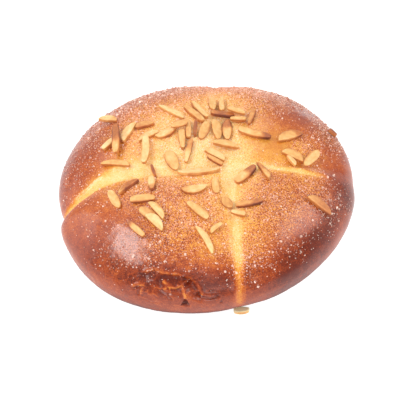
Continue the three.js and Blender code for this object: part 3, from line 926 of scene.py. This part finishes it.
def almond_material():
    n = Nodes("toasted_almond")
    # roast holds the toasting together with painted shade on the sides and underside
    roast = n.attribute("roast")
    directions = {"X": "along", "Y": "across", "Z": "through"}
    parts = {axis: n.attribute(name) for axis, name in directions.items()}
    local = n.add("ShaderNodeCombineXYZ", parts).outputs[0]
    grain = n.noise(*GRAIN_NOISE, n.stretched(local, GRAIN_STRETCH))
    spots = n.noise(*SPOT_NOISE, local)
    tone = n.plus(n.plus(roast, n.sway(grain, *GRAIN_SWAY)), n.sway(spots, *SPOT_SWAY))
    return n.finish(
        Base_Color=n.ramp(tone, *ALMOND_RAMP),
        Roughness=n.span(grain, *GRAIN_ROUGH),
        Normal=n.bump(grain, GRAIN_BUMP, GRAIN_BUMP_SHARE),
        Coat_Weight=0.12,
        Coat_Roughness=0.3,
        Subsurface_Weight=0.15,
        Subsurface_Radius=(1.0, 0.6, 0.3),
        Subsurface_Scale=0.002,
    )


almond = almond_material()
for node in sorted(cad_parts):
    if node.startswith("almond_sliver_"):
        number = int(node[-2:])
        sliver_piece(node, f"sliver_{number:02d}", ROAST.get(number, PLAIN_ROAST), ENDS.get(number))
sliver_piece("fallen_almond_sliver", "sliver_fallen", FALLEN_PAINTED_LIGHT_ROAST, None)

# ---------------------------------------------------------------- sugar

NUGGET_SIZE = 0.62
NUGGET = np.array([[1, 0, 0], [-1, 0, 0], [0, 1, 0], [0, -1, 0], [0, 0, 1], [0, 0, -1]], float)
NUGGET = NUGGET * NUGGET_SIZE
NUGGET_FACES = np.array(
    [[0, 2, 4], [2, 1, 4], [1, 3, 4], [3, 0, 4], [2, 0, 5], [1, 2, 5], [3, 1, 5], [0, 3, 5]]
)
CRYSTAL = np.array([[x, y, z] for z in (-1, 1) for y in (-1, 1) for x in (-1, 1)], float) / 2
CRYSTAL_FACES = np.array(
    [[0, 2, 3], [0, 3, 1], [4, 5, 7], [4, 7, 6], [0, 1, 5], [0, 5, 4]]
    + [[2, 6, 7], [2, 7, 3], [0, 4, 6], [0, 6, 2], [1, 3, 7], [1, 7, 5]]
)
# Pieces of sugar: name, grains tried, least size and spread of sizes in mm, whiteness, form.
SUGAR_PIECES = (
    ("sugar_fine_a", 42000, 0.36, 0.3, 0.85, NUGGET, NUGGET_FACES),
    ("sugar_fine_b", 42000, 0.36, 0.3, 0.85, NUGGET, NUGGET_FACES),
    ("sugar_coarse", 4500, 0.55, 0.45, 1.0, CRYSTAL, CRYSTAL_FACES),
)
CROWN_REACH = 0.999  # keeps grains off the widest line
CLUMP, CLUMP_SPREAD, CLUMP_SIZE, CLUMP_LEAST = 0.75, 0.7, 6.0, 0.15
KEPT = 1.5  # grains kept for each part of a full covering, up to all of them
TURN_STEP, REACH_STEP, LEAST_RADIUS = 0.05, 0.0008, 0.02  # steps that tell which way the crust faces
SMALLNESS = 2.2  # the higher, the fewer of the grains are large
RIM_GROWTH, RIM_RADII = 0.35, (62, 80)
STRETCH, UNEVENNESS = (0.7, 1.15), (0.82, 1.12)
STANDING = 0.22  # how far a grain's middle stands off the crust, as a share of its size
SUGAR_WHITE, SUGAR_GLOW = (255, 230, 212), 0.16
WHITE_RANGE = (0, 1, 0.1, 0.85)
CLOUD_NOISE, CLOUD_SWAY, CLOUD_ROUGH = (2500, 2, 0.5), (0.2, 0.08), (0.3, 0.7, 0.15, 0.35)


def sugar_places(tries):
    """Places on the crust, picked at random and kept where sugar lies."""
    share = np.sqrt(rng.random(tries)) * CROWN_REACH
    azimuth = rng.random(tries) * 360
    radius = CROWN_PART * np.arcsin(share) / (np.pi / 2)
    place = crust_at(azimuth, radius)
    thick = sugaring(*place.T)
    clump = CLUMP + CLUMP_SPREAD * noise(place, CLUMP_SIZE, 3)
    # every azimuth gets as many places, so they are thinned where the rim is nearer and they lie closer
    rim, turn = rim_radius(azimuth), np.radians(azimuth)
    reach = np.hypot(rim * np.cos(turn) - CROSSING[0], rim * np.sin(turn) - CROSSING[1])
    evenness = (reach / reach.max()) ** 2
    kept = rng.random(tries) < np.minimum(KEPT * thick, 1) * np.clip(clump, CLUMP_LEAST, 1) * evenness
    return azimuth[kept], radius[kept]


def raised(azimuth, radius):
    """Points of the finished crust, and the directions it faces there."""
    here = crust_at(azimuth, radius)
    with_turn = crust_at(azimuth + TURN_STEP / np.maximum(radius, LEAST_RADIUS), radius) - here
    with_reach = crust_at(azimuth, radius + REACH_STEP) - here
    facing = np.cross(with_reach, with_turn)
    facing /= np.linalg.norm(facing, axis=1, keepdims=True)
    facing *= np.sign(facing[:, 2:3])
    return here + facing * (fine_relief(here) * smooth(here[:, 2], *RELIEF_FOOT))[:, None], facing


def sugar_piece(name, tries, least, spread, whiteness, form, form_faces):
    """Grains of one form scattered over the crust, each turned, stretched and a little uneven."""
    azimuth, radius = sugar_places(tries)
    here, facing = raised(azimuth, radius)
    count = len(here)
    size = least + spread * rng.random(count) ** SMALLNESS
    size = size * (1 + RIM_GROWTH * smooth(np.hypot(here[:, 0], here[:, 1]), *RIM_RADII))
    spin = rng.normal(size=(count, 4))
    spin /= np.linalg.norm(spin, axis=1, keepdims=True)
    w, x, y, z = spin.T
    turns = np.stack(
        [
            np.stack([1 - 2 * (y * y + z * z), 2 * (x * y - z * w), 2 * (x * z + y * w)], -1),
            np.stack([2 * (x * y + z * w), 1 - 2 * (x * x + z * z), 2 * (y * z - x * w)], -1),
            np.stack([2 * (x * z - y * w), 2 * (y * z + x * w), 1 - 2 * (x * x + y * y)], -1),
        ],
        1,
    )
    corners = len(form)
    stretch = rng.uniform(*STRETCH, (count, 1, 3))
    body = form[None] * stretch * rng.uniform(*UNEVENNESS, (count, corners, 3))
    body = np.einsum("nij,nkj->nki", turns, body) * size[:, None, None]
    centre = here + facing * (size * STANDING)[:, None]
    verts = (centre[:, None] + body).reshape(-1, 3)
    faces = (np.arange(count)[:, None, None] * corners + form_faces[None]).reshape(-1, 3)
    mesh = bpy.data.meshes.new(name)
    mesh.vertices.add(len(verts))
    mesh.vertices.foreach_set("co", ((verts + SHIFT) * MM).ravel())
    mesh.loops.add(faces.size)
    mesh.loops.foreach_set("vertex_index", faces.ravel())
    mesh.polygons.add(len(faces))
    mesh.polygons.foreach_set("loop_start", np.arange(0, faces.size, 3))
    mesh.update(calc_edges=True)
    mesh.shade_flat()
    piece = linked(name, mesh)
    give(mesh, "baked_and_painted_light", np.repeat(browning_and_painted_light(*here.T), corners))
    give(mesh, "shade", np.repeat(whiteness * rng.random(count), corners))
    mesh.materials.append(grain)
    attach(piece, "root")


def sugar_material():
    n = Nodes("sugar_grain")
    below = n.ramp(n.attribute("baked_and_painted_light"), *CRUST_RAMP)
    shade = n.attribute("shade")
    cloud = n.noise(*CLOUD_NOISE)
    share = n.plus(n.span(shade, *WHITE_RANGE), n.sway(cloud, *CLOUD_SWAY), clamp=True)
    colour = n.mix(share, below, linear(SUGAR_WHITE))
    return n.finish(
        Base_Color=colour,
        Roughness=n.span(cloud, *CLOUD_ROUGH),
        Specular_IOR_Level=0.8,
        # the grains glow a little: painted light, standing in for light scattered inside the sugar
        Emission_Color=colour,
        Emission_Strength=SUGAR_GLOW,
    )


grain = sugar_material()
for row in SUGAR_PIECES:
    sugar_piece(*row)

# ---------------------------------------------------------------- floor, light and camera

# Lights: name, azimuth, elevation, distance and diameter in metres, power in watts.
LIGHTS = (
    ("key", 201, 53.5, 1.2, 0.6, 6.3),
    ("back", 105, 48, 1.6, 1.6, 6.3),
    ("right", 5, 42, 1.6, 0.9, 5.5),
    ("front", 285, 36, 1.4, 0.8, 6.0),
    ("left", 172, 14, 1.5, 1.1, 4.2),
    ("right_low", 8, 12, 1.5, 1.0, 3.4),
)
FLOOR_SIZE, PAPER_SHADE, PAPER_GLOW, WORLD_LIGHT = 6, 0.35, 0.9, 0.42
WHITE = (1, 1, 1, 1)
CAMERA_ELEVATION = math.radians(48)
CAMERA_DISTANCE, CAMERA_LENS = 0.750, 108
AIM_LEFT, AIM_HEIGHT, AIM_LOWERED = 0.0046, 0.022, 0.0081  # lowered across the view


def light(name, azimuth, elevation, distance, size, power):
    """A round soft light that faces the loaf from an azimuth and elevation."""
    data = bpy.data.lights.new(name, "AREA")
    data.shape, data.size, data.energy = "DISK", size, power
    a, e = math.radians(azimuth), math.radians(elevation)
    away = Vector((math.cos(a) * math.cos(e), math.sin(a) * math.cos(e), math.sin(e)))
    lamp = linked(name, data)
    lamp.location = away * distance
    lamp.rotation_mode = "QUATERNION"
    lamp.rotation_quaternion = away.to_track_quat("Z", "Y")


for row in LIGHTS:
    light(*row)

bpy.ops.mesh.primitive_plane_add(size=FLOOR_SIZE)
floor = bpy.context.object
floor.name = "floor"
paper = Nodes("white_paper")
paper.finish(
    Base_Color=(PAPER_SHADE, PAPER_SHADE, PAPER_SHADE, 1),
    Roughness=0.9,
    Emission_Color=WHITE,
    Emission_Strength=PAPER_GLOW,
)
floor.data.materials.append(paper.material)

world = bpy.data.worlds.new("studio")
bpy.context.scene.world = world
world.use_nodes = True
world.node_tree.nodes["Background"].inputs["Color"].default_value = WHITE
world.node_tree.nodes["Background"].inputs["Strength"].default_value = WORLD_LIGHT

bpy.context.scene.view_settings.view_transform = "Standard"

back = Vector((0, -math.cos(CAMERA_ELEVATION), math.sin(CAMERA_ELEVATION)))
above = Vector((0, math.sin(CAMERA_ELEVATION), math.cos(CAMERA_ELEVATION)))
aim = Vector((SHIFT[0] * MM - AIM_LEFT, SHIFT[1] * MM, AIM_HEIGHT)) - above * AIM_LOWERED
camera_data = bpy.data.cameras.new("camera")
camera_data.lens = CAMERA_LENS
camera = linked("camera", camera_data)
camera.location = aim + back * CAMERA_DISTANCE
camera.rotation_mode = "QUATERNION"
camera.rotation_quaternion = back.to_track_quat("Z", "Y")
bpy.context.scene.camera = camera
